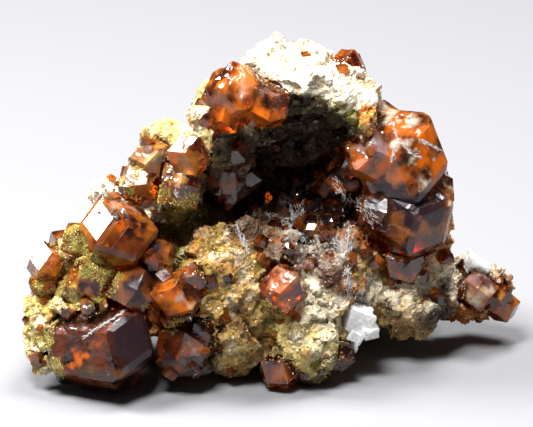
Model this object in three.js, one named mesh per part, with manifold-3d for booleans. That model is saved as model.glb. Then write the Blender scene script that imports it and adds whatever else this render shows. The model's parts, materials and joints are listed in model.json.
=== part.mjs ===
// Orange-brown garnet crystals in their host rock, a loose hand specimen 50 mm across.
// Millimetres, +Z up, +X to the right and -Y towards the viewer. The rock stands on its own broken base at z = 0.
// The host rock is one solid of fused lumps with a hollow under its crown, and every group of crystals sits in a pocket of it.

import * as THREE from "three";
import { ImprovedNoise } from "three/addons/math/ImprovedNoise.js";
import { mergeVertices } from "three/addons/utils/BufferGeometryUtils.js";
import Module from "manifold-3d";

const wasm = await Module();
wasm.setup();

// Fit between pieces, and the grain of the broken rock
const POCKET_GAP = 0.3; // clear space between a crystal group and its pocket
const ROCK_EDGE = 2.55; // about the length of a rock facet's edge
const SMALL_LUMP = 2.65; // lumps of rock below this size need only a few facets
const ROCK_SLIVER = 0.33; // edges shorter than this close up where lumps of rock are joined or cut
const ROCK_RELIEF = 0.9; // height of the rock's coarse relief
const RELIEF_LENGTH = 3.4; // distance from one swell of that relief to the next
const CHIP_FACES = 15; // flat broken faces round each lump of rock
const CHIP_DEPTH = [0.8, 1.02]; // distance of those faces from the lump's centre, as a share of its size

// Crystal habit: rhombic dodecahedra whose edges are cut by narrow trapezohedral faces
const EDGE_CUT = 0.95; // distance of an edge face, as a share of the sharp edge's own distance
const EDGE_FACES_FROM = 2.65; // size from which a crystal's edge faces are wide enough to see
const FACE_SPREAD = 0.06; // how unevenly the rhombic faces of one crystal have grown

const degrees = (angles) => new THREE.Euler(...angles.map(THREE.MathUtils.degToRad), "XYZ");

// A repeatable source of numbers from 0 to 1
function numbersFrom(seed) {
  let state = seed >>> 0;
  return () => {
    state = (state + 0x6d2b79f5) >>> 0;
    let t = Math.imul(state ^ (state >>> 15), 1 | state);
    t = (t + Math.imul(t ^ (t >>> 7), 61 | t)) ^ t;
    return ((t ^ (t >>> 14)) >>> 0) / 4294967296;
  };
}

// A closed three.js geometry as a solid that can be joined and cut. tolerance is the shortest edge that it keeps.
function solidOf(geometry, tolerance = 0) {
  const bare = geometry.clone();
  bare.deleteAttribute("normal");
  bare.deleteAttribute("uv");
  const merged = mergeVertices(bare, 1e-4);
  return new wasm.Manifold(
    new wasm.Mesh({
      numProp: 3,
      vertProperties: new Float32Array(merged.attributes.position.array),
      triVerts: new Uint32Array(merged.index.array),
      tolerance,
    }),
  );
}

// The largest body of a solid, as a flat-shaded three.js mesh
function meshOf(name, solid, finish) {
  const whole = solid.decompose().sort((a, b) => b.volume() - a.volume())[0];
  const { vertProperties, triVerts } = whole.getMesh();
  const geometry = new THREE.BufferGeometry();
  geometry.setAttribute("position", new THREE.BufferAttribute(new Float32Array(vertProperties), 3));
  geometry.setIndex(new THREE.BufferAttribute(new Uint32Array(triVerts), 1));
  geometry.computeVertexNormals();
  const mesh = new THREE.Mesh(geometry, finish);
  mesh.name = name;
  return mesh;
}

const joined = (solids) => solids.reduce((all, one) => all.add(one));

// Finishes
const rockFinish = new THREE.MeshStandardMaterial({ color: 0xb3a06a, roughness: 0.85, flatShading: true });
const garnetFinish = new THREE.MeshStandardMaterial({ color: 0x8a3510, roughness: 0.18, flatShading: true });
const darkGarnetFinish = new THREE.MeshStandardMaterial({ color: 0x4a1a0c, roughness: 0.2, flatShading: true });
const calciteFinish = new THREE.MeshStandardMaterial({ color: 0xf2efe8, roughness: 0.35, flatShading: true });

// The directions of a dodecahedron's twelve rhombic faces: one zero and two equal parts
const RHOMBIC = [-1, 1].flatMap((a) =>
  [-1, 1].flatMap((b) => [
    new THREE.Vector3(a, b, 0).normalize(),
    new THREE.Vector3(a, 0, b).normalize(),
    new THREE.Vector3(0, a, b).normalize(),
  ]),
);

// One garnet crystal. size is the distance from its centre to its rhombic faces and turn its tilt in degrees. grow
// moves every face outwards to make its pocket. Pockets and small crystals have sharp edges.
function crystal({ at, size, turn }, grow = 0) {
  const next = numbersFrom(1000 * size + 10 * at[0] + at[2]);
  const reach = RHOMBIC.map(() => size * (1 + FACE_SPREAD * (2 * next() - 1)));
  const faces = RHOMBIC.map((normal, i) => ({ normal, distance: reach[i] }));
  const hasEdgeFaces = grow === 0 && size >= EDGE_FACES_FROM;
  RHOMBIC.forEach((first, i) =>
    RHOMBIC.slice(i + 1).forEach((second, j) => {
      if (!hasEdgeFaces || Math.abs(first.dot(second) - 0.5) > 0.01) return;
      const across = first.clone().add(second);
      const distance = ((reach[i] + reach[i + 1 + j]) / across.length()) * EDGE_CUT;
      faces.push({ normal: across.normalize(), distance });
    }),
  );
  const tilt = new THREE.Quaternion().setFromEuler(degrees(turn));
  const centre = new THREE.Vector3(...at);
  const block = 4 * (size + grow);
  let solid = solidOf(new THREE.BoxGeometry(block, block, block).translate(...at));
  for (const { normal, distance } of faces) {
    const inward = normal.clone().applyQuaternion(tilt).negate();
    solid = solid.trimByPlane(inward.toArray(), inward.dot(centre) - distance - grow);
  }
  return solid;
}

const crystalGroup = (crystals, grow = 0) => joined(crystals.map((one) => crystal(one, grow)));

// One lump of rock: a ball chipped by flat faces and roughened by the coarse relief
const relief = new ImprovedNoise();
function lump({ at, size, turn = [0, 0, 0] }) {
  const next = numbersFrom(1000 * size[0] + 10 * at[0] + at[2]);
  const chips = Array.from({ length: CHIP_FACES }, () => {
    const tall = 2 * next() - 1;
    const round = 2 * Math.PI * next();
    const flat = Math.sqrt(1 - tall * tall);
    const distance = THREE.MathUtils.lerp(...CHIP_DEPTH, next());
    return { normal: new THREE.Vector3(flat * Math.cos(round), flat * Math.sin(round), tall), distance };
  });
  const largest = Math.max(...size);
  const detail = largest < SMALL_LUMP ? 1 : Math.max(2, Math.round(largest / ROCK_EDGE) - 1);
  const ball = new THREE.IcosahedronGeometry(1, detail);
  const place = new THREE.Matrix4().compose(
    new THREE.Vector3(...at),
    new THREE.Quaternion().setFromEuler(degrees(turn)),
    new THREE.Vector3(...size),
  );
  const points = ball.attributes.position;
  const point = new THREE.Vector3();
  const outward = new THREE.Vector3();
  for (let i = 0; i < points.count; i++) {
    outward.fromBufferAttribute(points, i).normalize();
    let reach = 1;
    for (const { normal, distance } of chips) {
      const slant = normal.dot(outward);
      if (slant > 0.1) reach = Math.min(reach, distance / slant);
    }
    point.copy(outward).multiplyScalar(reach).applyMatrix4(place);
    const [x, y, z] = point.toArray().map((value) => value / RELIEF_LENGTH);
    const swell = relief.noise(x, y, z) + 0.5 * relief.noise(2.3 * x, 2.3 * y, 2.3 * z + 5);
    point.addScaledVector(outward, ROCK_RELIEF * swell);
    points.setXYZ(i, ...point.toArray());
  }
  return solidOf(ball, ROCK_SLIVER);
}

// The host rock, lump by lump from the base to the crown
const rockLumps = [
  { at: [-1, 0.5, 8.5], size: [14, 10, 9.4] }, // core that the rest is fused to
  { at: [3.5, 5.5, 16.5], size: [10, 6, 11.8] }, // wall behind the hollow
  { at: [3.4, 2.4, 25.4], size: [7, 5, 5.6] }, // nape that carries the crown
  { at: [-5, 7, 9.5], size: [11.5, 5.8, 8.8] }, // back, left of the middle
  { at: [9, 6.8, 10], size: [8, 5.6, 9.4] }, // back, right of the middle
  { at: [-8, 3, 14.5], size: [6, 5.4, 8] }, // between the ridge and the back
  { at: [-15.6, -4, 9.8], size: [6, 7, 7.8] }, // left body
  { at: [-20.2, -6.2, 8.6], size: [3.6, 4.2, 5.6] }, // left wing
  { at: [-22.2, -10, 5.2], size: [2.6, 3, 4.2] }, // rind on the left of the large crystal
  { at: [-18, -11, 9.2], size: [4.4, 2.6, 1.6] }, // ledge on top of the large crystal
  { at: [-14, -9.6, 9], size: [4.2, 3.6, 5.6] }, // rock between the left crystals
  { at: [-9.8, -2, 19.3], size: [4.6, 5.2, 5.8] }, // ridge that climbs to the crown
  { at: [-14.4, -5, 17.4], size: [3.2, 3.2, 3.6] }, // foot of the ridge
  { at: [-4.4, -1.8, 24], size: [4, 5, 4.8] }, // shoulder under the crown's left end
  { at: [3.3, -1.2, 29.8], size: [6.6, 7, 3.2], turn: [0, 9, 0] }, // crown
  { at: [-1.3, -3, 29.2], size: [4, 4.5, 2.8] }, // crown's left end
  { at: [7.8, -1.6, 27.6], size: [2.9, 4.8, 3.4] }, // crown's right end
  { at: [9.1, -4.3, 26.1], size: [2, 2.2, 2.6], turn: [0, 20, 0] }, // corner at the right end of the crown's lip
  { at: [1, 1, 32.2], size: [1.1, 1.1, 1.8] }, // knob on the crown
  { at: [-4, -8, 8.6], size: [6.4, 5.4, 8.2] }, // apron in front of the hollow
  { at: [0.6, -8, 10], size: [4.4, 4.4, 6] }, // middle of the apron
  { at: [3.2, -9, 5.6], size: [4.6, 4.2, 6.2] }, // front foot
  { at: [6.4, -5.5, 10], size: [4.4, 4.8, 5.8] }, // right end of the apron
  { at: [12.6, 2.5, 13.6], size: [5.8, 6.6, 9.4] }, // right body
  { at: [13.2, -0.6, 6.8], size: [7.2, 5.8, 4.6] }, // right base
  { at: [20.6, 1.6, 5.7], size: [4.2, 3.2, 3.4] }, // right lobe
];

// The hollow under the crown
const hollowLumps = [
  { at: [3.2, -11, 23.6], size: [6.9, 9, 5.6] },
  { at: [0.8, -8.5, 19.4], size: [7.6, 9.6, 4.8] },
];

// Crystal groups. Crystals of one group have grown through each other.
const garnetGroups = {
  garnet_upper_left: [
    { at: [-15.9, -10.4, 16], size: 3.25, turn: [-94, 20, -15] },
    { at: [-14.9, -10.1, 15.8], size: 3.1, turn: [-94, 20, -15] },
    { at: [-19.2, -9.6, 15.2], size: 1.5, turn: [50, 0, 30] },
    { at: [-17.6, -10.9, 11.8], size: 2.4, turn: [15, 65, 20] },
    { at: [-19.3, -11, 10.4], size: 1.5, turn: [0, 25, 45] },
    { at: [-13.8, -12.2, 11], size: 2.1, turn: [70, 10, 15] },
    { at: [-11.6, -10.2, 13.6], size: 1.8, turn: [15, 40, 60] },
  ],
  garnet_lower_left: [
    { at: [-16, -12.54, 5.08], size: 4.2, turn: [27, -56, -74] },
    { at: [-18.6, -11.7, 4.65], size: 3.6, turn: [27, -56, -74] },
  ],
  garnet_far_left: [
    { at: [-22.4, -8.8, 12.4], size: 1.7, turn: [-94, 20, -15] },
    { at: [-22.8, -9, 10.4], size: 1.3, turn: [60, 30, 0] },
  ],
  garnet_centre_left: [
    { at: [-9.5, -12.9, 10.2], size: 2.3, turn: [58, -51, -29] },
    { at: [-8, -11.9, 12], size: 1.4, turn: [0, 10, 60] },
  ],
  garnet_foot_left: [
    { at: [-8.9, -12.2, 4.6], size: 2.5, turn: [40, 5, 30] },
    { at: [-6.9, -11.9, 5.8], size: 1.6, turn: [10, 70, 25] },
    { at: [-7.5, -12, 2.8], size: 1.4, turn: [25, 20, 80] },
  ],
  garnet_shoulder: [
    { at: [-8.1, -7, 23.3], size: 1.9, turn: [20, 25, 15] },
    { at: [-9, -7, 20.2], size: 2.1, turn: [65, 0, 35] },
  ],
  garnet_ridge: [
    { at: [-11.8, -4.8, 22], size: 1.8, turn: [45, 15, 0] },
    { at: [-13.3, -5.4, 19.8], size: 1.8, turn: [10, 30, 50] },
  ],
  garnet_crown_left: [
    { at: [-3.3, -5.8, 29.5], size: 2.8, turn: [-63, 77, -109] },
    { at: [-0.5, -6.9, 28.7], size: 2.1, turn: [5, 60, 10] },
    { at: [-4.7, -7, 27.4], size: 1.6, turn: [30, 10, 35] },
  ],
  garnet_crown_right: [{ at: [7.8, 0.6, 30.2], size: 1.5, turn: [15, 20, 5] }],
  garnet_hollow_left: [{ at: [-4.5, -2.4, 19.8], size: 3, turn: [25, 50, 15] }],
  garnet_hollow_right: [
    { at: [5.3, -1, 17], size: 2.6, turn: [35, 0, 25] },
    { at: [5, -4.6, 14.8], size: 2.2, turn: [10, 55, 40] },
    { at: [7.6, -2.6, 19.3], size: 2, turn: [70, 25, 10] },
  ],
  garnet_right: [
    { at: [13, -1.2, 20.8], size: 4.7, turn: [15, 30, 20] },
    { at: [11.6, 0.2, 24], size: 1.9, turn: [65, 45, 0] },
    { at: [9.9, -4.2, 22.4], size: 2.5, turn: [99, 68, 87] },
    { at: [14, -3, 15.2], size: 3.9, turn: [30, 60, 0] },
    { at: [16.6, -0.6, 17.4], size: 2, turn: [20, 0, 50] },
    { at: [10.8, -4.6, 16.8], size: 2, turn: [80, 20, 30] },
  ],
  garnet_centre: [{ at: [1.3, -11.9, 11], size: 2, turn: [40, 30, 10] }],
  garnet_right_base: [{ at: [13.4, -4.6, 11.2], size: 1.9, turn: [20, 45, 30] }],
  garnet_right_lobe: [
    { at: [21.1, -0.9, 6.7], size: 1.6, turn: [-23, 82, 177] },
    { at: [22.9, 0.6, 5.4], size: 1.5, turn: [30, 50, 25] },
    { at: [23.7, 1, 4.2], size: 1.4, turn: [45, 0, 15] },
  ],
  garnet_front_foot: [{ at: [1, -11.4, 2], size: 1.8, turn: [5, 35, 20] }],
  garnet_foot_right: [{ at: [6.8, -9.8, 3], size: 1.5, turn: [25, 0, 65] }],
  garnet_back_left: [
    { at: [-9, 10.6, 11.5], size: 2.9, turn: [25, 15, 60] },
    { at: [-5.6, 11.4, 13.4], size: 2.2, turn: [0, 40, 30] },
  ],
  garnet_back_right: [
    { at: [8.6, 9.8, 19.4], size: 2.9, turn: [10, 30, 5] },
    { at: [12, 8.6, 17], size: 2.2, turn: [45, 55, 20] },
  ],
  garnet_left_side: [{ at: [-20.2, -1, 10.4], size: 2.4, turn: [35, 20, 45] }],
};
const darkGroups = ["garnet_hollow_left", "garnet_hollow_right", "garnet_foot_left", "garnet_lower_left"];

// Calcite: cleavage blocks, which are cubes pressed along one diagonal
const CLEAVAGE_SQUASH = 0.78;
const calciteGroups = {
  calcite: [
    { at: [8.9, -8.6, 6.5], size: [2.9, 2.8, 3], turn: [10, 20, 8] },
    { at: [9.9, -9, 5.3], size: [1.8, 1.8, 1.6], turn: [25, 5, 30] },
    { at: [8.3, -9.2, 4.5], size: [1.4, 1.6, 2.2], turn: [5, 28, 12] },
  ],
  calcite_lobe: [{ at: [21, 0.6, 8.7], size: [2.9, 2.4, 1.9], turn: [5, 28, -8] }],
};
function calcite(blocks, grow = 0) {
  const diagonal = new THREE.Vector3(1, 1, 1).normalize();
  const onEnd = new THREE.Quaternion().setFromUnitVectors(diagonal, new THREE.Vector3(0, 0, 1));
  return joined(
    blocks.map(({ at, size, turn }) => {
      const block = new THREE.BoxGeometry(...size.map((side) => side + 2 * grow));
      block.applyQuaternion(onEnd).scale(1, 1, CLEAVAGE_SQUASH).applyQuaternion(onEnd.clone().invert());
      block.applyQuaternion(new THREE.Quaternion().setFromEuler(degrees(turn))).translate(...at);
      return solidOf(block);
    }),
  );
}

// Each group is cut back from the groups before it, so that no two pieces share space
const pieces = [];
const taken = [];
for (const [name, crystals] of Object.entries(garnetGroups)) {
  let solid = crystalGroup(crystals).trimByPlane([0, 0, 1], 0);
  for (const other of taken) solid = solid.subtract(other);
  taken.push(crystalGroup(crystals, POCKET_GAP));
  pieces.push(meshOf(name, solid, darkGroups.includes(name) ? darkGarnetFinish : garnetFinish));
}
for (const [name, blocks] of Object.entries(calciteGroups)) {
  let solid = calcite(blocks);
  for (const other of taken) solid = solid.subtract(other);
  taken.push(calcite(blocks, POCKET_GAP));
  pieces.push(meshOf(name, solid, calciteFinish));
}

// The host rock: its lumps, less the hollow and every pocket, broken off level at the base
let rock = joined(rockLumps.map(lump));
for (const hollow of hollowLumps) rock = rock.subtract(lump(hollow));
for (const pocket of taken) rock = rock.subtract(pocket);
pieces.push(meshOf("host_rock", rock.trimByPlane([0, 0, 1], 0), rockFinish));

const specimen = new THREE.Group();
specimen.add(...pieces);

// The origin is the middle of the footprint, at the level that the specimen stands on
const extent = new THREE.Box3().setFromObject(specimen);
const middle = extent.getCenter(new THREE.Vector3());
specimen.position.set(-middle.x, -middle.y, -extent.min.z);

export default specimen;
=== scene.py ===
import json
import math
import random
from collections import Counter

import bmesh
import bpy
import numpy as np
from mathutils import Euler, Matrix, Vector, noise
from mathutils.bvhtree import BVHTree
from mathutils.kdtree import KDTree


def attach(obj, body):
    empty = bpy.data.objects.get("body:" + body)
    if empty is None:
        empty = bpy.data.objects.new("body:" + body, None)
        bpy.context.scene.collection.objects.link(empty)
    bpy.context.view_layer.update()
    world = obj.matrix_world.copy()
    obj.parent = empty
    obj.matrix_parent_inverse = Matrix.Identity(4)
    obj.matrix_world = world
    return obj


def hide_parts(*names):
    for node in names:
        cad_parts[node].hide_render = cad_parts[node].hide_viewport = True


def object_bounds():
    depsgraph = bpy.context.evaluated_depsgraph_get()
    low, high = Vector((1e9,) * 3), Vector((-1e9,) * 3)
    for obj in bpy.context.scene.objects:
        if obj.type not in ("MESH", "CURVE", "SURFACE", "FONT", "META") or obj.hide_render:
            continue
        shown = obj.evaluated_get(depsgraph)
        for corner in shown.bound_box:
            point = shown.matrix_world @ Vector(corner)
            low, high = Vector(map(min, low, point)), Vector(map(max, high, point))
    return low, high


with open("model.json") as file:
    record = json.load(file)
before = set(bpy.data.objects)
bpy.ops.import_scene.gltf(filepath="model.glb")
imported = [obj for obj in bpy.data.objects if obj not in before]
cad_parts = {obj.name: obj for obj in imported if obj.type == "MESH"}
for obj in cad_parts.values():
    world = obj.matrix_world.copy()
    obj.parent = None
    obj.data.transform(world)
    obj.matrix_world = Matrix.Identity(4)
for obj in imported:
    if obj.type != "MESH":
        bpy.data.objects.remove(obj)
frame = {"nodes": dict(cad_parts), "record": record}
cad_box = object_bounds()

# Camera: 20 degrees above the ground, as the photograph's was, and so far off that the specimen looks
# nearly flat. It is aimed so that the point FOOT of the specimen falls on FOOT_PIXEL of the picture.
MM = 0.001
RISE = math.radians(20)
DISTANCE = 1.0
PICTURE = (533, 427)
SCALE = 0.102 * MM  # the size of one pixel of the picture at the specimen
FOOT = Vector((-0.334, 1.929, 0)) * MM
FOOT_PIXEL = (270, 348)
SENSOR = 36  # the width of the camera's sensor, in millimetres
right = Vector((1, 0, 0))
up = Vector((0, math.sin(RISE), math.cos(RISE)))
toward = Vector((0, -math.cos(RISE), math.sin(RISE)))
aim = (
    FOOT
    + right * (PICTURE[0] / 2 - FOOT_PIXEL[0]) * SCALE
    + up * (FOOT_PIXEL[1] - PICTURE[1] / 2) * SCALE
)
camera_data = bpy.data.cameras.new("camera")
camera_data.sensor_width = SENSOR
camera_data.lens = SENSOR * DISTANCE / (PICTURE[0] * SCALE)
camera_data.clip_end = 10 * DISTANCE
camera = bpy.data.objects.new("camera", camera_data)
camera.location = aim + toward * DISTANCE
camera.rotation_euler = (-toward).to_track_quat("-Z", "Y").to_euler()
bpy.context.scene.collection.objects.link(camera)
bpy.context.scene.camera = camera

# Host rock: the matrix, one broken piece of rock of yellow-green, tan and cream minerals. It grew as a mass
# of small grains, so its surface is chunky at 2 mm and granular below 1 mm, and each mineral has patches.
# Some of the rock's patches are painted shade, in the hollow and under overhangs, and some painted light, on
# the crown's front above its lip.
ROCK_VOXEL = 0.29 * MM
ROCK_SWELL = 0.2  # millimetres that the rock closes round its crystals
ROLL_LENGTH = 4.2  # length and height of the rock's broad relief, in millimetres
ROLL_HEIGHT = 0.35
COARSE_CHIPS = (2.4, 0.5, 0.5)  # the chips' size in millimetres, their depth and their tilt
FINE_CHIPS = (1.0, 0.22, 0.55)
FINE_SHIFT = Vector((3, 7, 1))  # keeps the fine chips' borders off those of the coarse ones
ROCK_SHADE = 0.7  # the rock between its grains, as a share of their colour
BORDER_LENGTH = 1.9  # how long and how far a patch's border wavers, in millimetres
BORDER_SWING = 1.1
BORDER_SHARPNESS = 2.5
FRONT_STRENGTH = 5  # weight of the patches that the picture shows, against the broad ones
LIGHT_ROCK = 0.15  # lightness of a patch from which its speckles are at their full strength

CREAM = (0.86, 0.76, 0.57)
# the next colour is cream brighter than white: painted light on the crown's front above its lip, which faces
# down out of the light
PAINTED_LIGHT_CREAM = (1.15, 1.04, 0.82)
PALE_YELLOW = (0.60, 0.46, 0.17)
TAN = (0.50, 0.30, 0.09)
OLIVE = (0.16, 0.14, 0.025)
RUST = (0.42, 0.12, 0.015)
# the next colour, a near-black umber, is painted shade: it darkens the hollow under the crown and the rock
# under overhangs
SHADE_UMBER = (0.030, 0.017, 0.008)
# the next colour is the rock's own olive darkened with painted shade, for the underside of the crown's lip
SHADED_OLIVE = (0.050, 0.043, 0.012)
GREY_WHITE = (0.42, 0.36, 0.30)
OCHRE = (0.42, 0.27, 0.07)
YELLOW_GREEN = (0.42, 0.33, 0.07)
# the next colour is a dark mauve-brown, partly the rock's own and partly painted shade below the hollow's
# mouth
SHADED_MAUVE = (0.14, 0.070, 0.042)
AMBER = (0.80, 0.36, 0.08)
BROWN = (0.14, 0.06, 0.02)
SLATE = (0.05, 0.055, 0.065)

# Broad patches on all sides: the colour, then each patch's middle and its reach, in millimetres
ROCK_PATCHES = [
    (CREAM, [
        ((2, 3, 33), 6), ((9, 2, 30), 3.5), ((-15, -4, 20), 3.5), ((14, -4, 9), 4), ((20, 2, 8), 2.6),
    ]),
    # painted shade: near-black umber in the hollow under the crown and on the shaded lower right
    (SHADE_UMBER, [
        ((3, -2, 25), 3), ((3, 1, 20.5), 6), ((-4, -1, 20), 4), ((8, 0, 19), 4), ((15, -3, 13.5), 3.6),
        ((17, -3, 5.5), 2.4),
    ]),
    (PALE_YELLOW, [
        ((-5, 1, 27), 4), ((-11, -1, 22), 4), ((-19, -8, 9), 4), ((-23, -8, 5), 4), ((3, -10, 6), 4),
        ((4, 10, 20), 8),
    ]),
    (OLIVE, [
        ((-7, -5, 19), 3.4), ((-10, -7, 14.5), 3), ((4, -10, 8.5), 2.2), ((5, -9, 3), 2.2),
        ((12, -3, 11), 2.4), ((-10, 8, 12), 7),
    ]),
    (RUST, [
        ((-15, -8, 10), 5), ((8, -5, 12), 3), ((13, 0, 18), 6), ((22, 1, 5), 3),
    ]),
    (TAN, [
        ((-4, -9, 12), 5), ((-5, -9, 5), 4.5), ((12, -5, 5), 4), ((0, 9, 8), 9), ((0, 0, 0), 7),
    ]),
    (GREY_WHITE, [
        ((4, -6, 14), 3),
    ]),
]
# Small patches on the front: the colour, then pixels across and down and the reach in millimetres
FRONT_PATCHES = [
    (CREAM, [
        (280, 40, 1.2), (290, 52, 1.5), (306, 62, 1.6), (322, 54, 1.5), (337, 62, 1.5), (350, 74, 1.4),
        (272, 68, 1.4), (256, 66, 1.5), (240, 80, 1), (230, 100, 0.8), (205, 118, 1), (192, 130, 0.9),
        (132, 142, 1), (128, 160, 1), (108, 176, 1.2), (252, 294, 0.8), (308, 300, 1.2), (320, 312, 1.4),
        (330, 322, 1.2), (322, 336, 1.2), (306, 318, 1.2), (334, 302, 0.9), (318, 290, 0.9), (340, 328, 0.8),
        (298, 340, 0.8), (376, 290, 1.1), (392, 296, 1.1), (372, 276, 1.0), (400, 272, 1.0), (420, 276, 1.1),
        (434, 262, 1.1), (446, 268, 1.0), (484, 292, 0.9), (474, 298, 0.8), (496, 298, 0.7), (40, 330, 0.7),
        (32, 350, 0.6), (118, 304, 0.7), (136, 298, 0.6),
    ]),
    # painted light: cream brighter than white on the crown's front above its lip
    (PAINTED_LIGHT_CREAM, [
        (312, 80, 1.3), (292, 74, 1.3), (332, 80, 1.3), (360, 88, 1.2), (367, 98, 0.9), (348, 90, 1.0),
        (306, 84, 0.8), (322, 88, 0.9), (338, 94, 0.9), (354, 102, 0.8), (284, 82, 0.8),
    ]),
    (YELLOW_GREEN, [
        (340, 106, 0.4), (358, 120, 0.4), (362, 127, 0.3), (180, 216, 0.9), (196, 218, 0.9), (188, 226, 0.8),
        (190, 200, 0.9), (252, 266, 0.8), (262, 272, 0.8), (30, 318, 0.8), (36, 340, 1.0), (46, 304, 0.9),
        (42, 356, 0.9), (60, 288, 0.9), (74, 300, 0.8), (92, 262, 0.9), (104, 278, 0.8), (80, 246, 0.9),
        (176, 322, 0.8), (168, 330, 0.7), (144, 306, 0.7), (372, 266, 1.2), (386, 264, 1.0), (418, 300, 0.8),
        (426, 292, 0.8), (320, 384, 0.8),
    ]),
    (OLIVE, [
        (350, 113, 0.7), (356, 120, 0.7), (362, 128, 0.6), (334, 103, 0.6), (343, 110, 0.7), (349, 120, 0.6),
        (262, 140, 0.6), (310, 99, 0.5), (272, 306, 0.8), (262, 314, 0.8), (266, 328, 0.9), (272, 342, 0.9),
        (302, 352, 0.8), (312, 362, 0.9), (320, 352, 0.7), (395, 276, 0.9), (360, 270, 0.8), (412, 288, 0.7),
        (232, 246, 0.7), (194, 210, 0.7),
    ]),
    (RUST, [
        (306, 55, 0.5), (342, 68, 0.6), (352, 80, 0.5), (318, 70, 0.3), (330, 46, 0.4), (297, 62, 0.3),
    ]),
    (AMBER, [
        (372, 112, 0.7), (378, 121, 0.7), (364, 108, 0.6), (300, 90, 0.4), (322, 92, 0.4), (447, 236, 1.4),
        (442, 248, 1.2), (430, 266, 1.0), (446, 258, 1.0), (424, 250, 0.8), (412, 284, 0.7), (362, 284, 0.6),
        (336, 312, 0.5), (506, 308, 0.8), (450, 222, 1.0), (344, 350, 0.7), (280, 384, 1.0), (170, 148, 0.8),
        (150, 132, 0.6),
    ]),
    (OCHRE, [
        (420, 262, 1.0), (408, 276, 0.9), (386, 280, 0.9), (368, 260, 1.0), (354, 276, 0.9), (398, 300, 0.9),
        (202, 232, 1.5), (216, 246, 1.5), (198, 256, 1.5), (212, 266, 1.3), (196, 278, 1.4), (214, 290, 1.4),
        (200, 304, 1.3), (220, 306, 1.3), (232, 296, 1.2), (240, 272, 1.1), (212, 322, 1.2), (228, 334, 1.2),
    ]),
    # the rock's own olive with painted shade: dark olive under the crown's lip
    (SHADED_OLIVE, [
        (320, 106, 0.9), (330, 116, 1.0), (344, 130, 1.2), (305, 112, 1.2), (200, 210, 1.0), (358, 256, 1.0),
    ]),
    # painted shade: near-black umber in the hollow and under the overhangs at the base
    (SHADE_UMBER, [
        (296, 104, 1.2), (312, 126, 1.6), (332, 136, 1.6), (296, 140, 1.8), (318, 150, 1.8), (345, 145, 1.2),
        (225, 142, 1.6), (240, 160, 1.8), (252, 182, 1.8), (270, 168, 1.8), (288, 186, 1.8), (268, 206, 1.6),
        (244, 206, 1.4), (222, 190, 1.5), (305, 175, 1.6), (300, 200, 1.5), (330, 205, 1.4), (322, 228, 1.2),
        (386, 308, 0.7), (374, 312, 0.7), (434, 290, 1.2), (448, 296, 1.0), (232, 378, 0.8), (250, 372, 0.6),
    ]),
    (BROWN, [
        (400, 250, 0.8), (412, 262, 0.9), (345, 262, 0.8), (238, 318, 0.9), (245, 330, 0.8), (205, 200, 1.2),
    ]),
    # the rock's own mauve-brown, and painted shade below the hollow's mouth
    (SHADED_MAUVE, [
        (250, 228, 1.6), (266, 240, 1.5), (280, 250, 1.4), (238, 236, 1.2), (296, 258, 1.2), (318, 262, 1.2),
        (336, 268, 1.0), (344, 290, 0.8), (284, 376, 1.2), (300, 384, 1.0), (336, 366, 1.0), (330, 280, 0.9),
    ]),
    (PALE_YELLOW, [
        (222, 350, 1.3), (238, 352, 1.2), (250, 344, 1.0), (214, 362, 1.0), (284, 336, 1.2), (296, 326, 1.1),
        (286, 350, 0.9), (204, 340, 1.0), (196, 318, 0.8), (150, 160, 1.2), (142, 178, 1.2), (30, 332, 0.6),
    ]),
    (SLATE, [
        (228, 278, 0.6), (198, 285, 0.3), (366, 206, 0.8), (378, 216, 0.7), (352, 312, 0.5), (398, 312, 0.5),
    ]),
    # the first spot here, 243 across and 288 down, is a painted highlight of glinting grains
    (GREY_WHITE, [
        (243, 288, 0.6), (288, 262, 0.8), (304, 272, 0.7), (338, 244, 0.8), (342, 258, 0.7), (358, 198, 0.8),
        (374, 208, 0.6), (388, 216, 0.6), (366, 300, 0.9), (276, 212, 0.7), (290, 206, 0.6), (284, 198, 0.6),
    ]),
]
SPECKLES = [  # colour, length in millimetres, shift of its noise, and the most that it covers
    (RUST, 2.3, (9, 0, 0), 0.5),
    (CREAM, 1.7, (0, 40, 0), 0.4),
]

corners, faces = [], []
for solid in frame["nodes"].values():
    start = len(corners)
    corners.extend(vert.co for vert in solid.data.vertices)
    faces.extend([start + index for index in face.vertices] for face in solid.data.polygons)
solids = BVHTree.FromPolygons(corners, faces)


def seen_at(across, down):
    """The point of the solids that the picture shows at a pixel and its outward direction, or nothing."""
    point = aim + (right * (across - PICTURE[0] / 2) + up * (PICTURE[1] / 2 - down)) * SCALE
    place, normal, _, _ = solids.ray_cast(camera.location, (point - camera.location).normalized())
    return (None, None) if place is None else (np.array(place), np.array(normal))


broad_patches = [(hue, middle, reach) for hue, spots in ROCK_PATCHES for middle, reach in spots]
front_patches = [
    (hue, seen_at(across, down)[0] / MM, reach)
    for hue, spots in FRONT_PATCHES
    for across, down, reach in spots
    if seen_at(across, down)[0] is not None
]


def closeness(places, patches):
    """How near each place is to each patch: 1 in its middle, 0 well past its reach."""
    return np.stack(
        [np.exp(-((np.linalg.norm(places - middle, axis=1) / reach) ** 2)) for _, middle, reach in patches],
        axis=1,
    )


def swell(place, length, shift=(0, 0, 0)):
    """Smooth noise at a place, with swells of that length, mostly between -1 and 1."""
    return noise.fractal(Vector(place) / length + Vector(shift), 1, 2, 3)


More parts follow.
